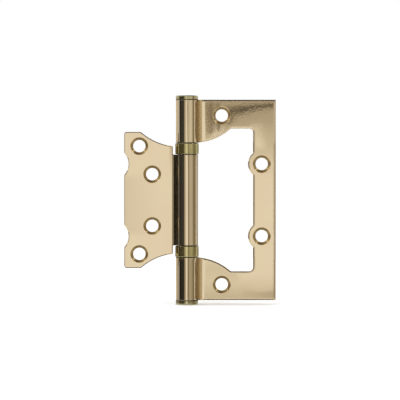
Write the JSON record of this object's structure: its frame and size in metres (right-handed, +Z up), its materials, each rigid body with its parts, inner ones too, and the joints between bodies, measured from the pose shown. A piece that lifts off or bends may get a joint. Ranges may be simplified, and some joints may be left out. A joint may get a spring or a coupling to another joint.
{
  "type": "flush hinge",
  "caption": "Flush hinge of polished brass-plated sheet, whose door leaf shuts into the window of its frame leaf, with bearing rings on a capped barrel.",
  "frame": {"origin": "on the pin's axis, at half the hinge's height", "axes": "+Z up along the pin, +X out along the frame leaf, -Y out of the countersunk show side; open flat at rest"},
  "size_m": [0.0757, 0.0116, 0.1046],
  "materials": {
    "leaf_brass": "polished plating on steel sheet",
    "ring_brass": "duller polished plating",
    "cap_brass": "polished plating",
    "pin_steel": "drawn steel, greased",
    "washer_nylon": "moulded"
  },
  "bodies": {
    "frame_side": {"frame_leaf": "leaf_brass", "hinge_pin": "pin_steel", "top_cap": "cap_brass", "bottom_cap": "cap_brass", "upper_bearing_ring": "ring_brass", "upper_bearing_top_washer": "washer_nylon", "lower_bearing_ring": "ring_brass", "lower_bearing_bottom_washer": "washer_nylon"},
    "door_side": {"door_leaf": "leaf_brass", "upper_bearing_bottom_washer": "washer_nylon", "lower_bearing_top_washer": "washer_nylon"}
  },
  "joints": [
    {"name": "leaf_swing", "type": "hinge", "parent": "frame_side", "child": "door_side", "pos_m": [0, 0, 0], "axis": [0, 0, 1], "range_deg": [0, 180]}
  ]
}
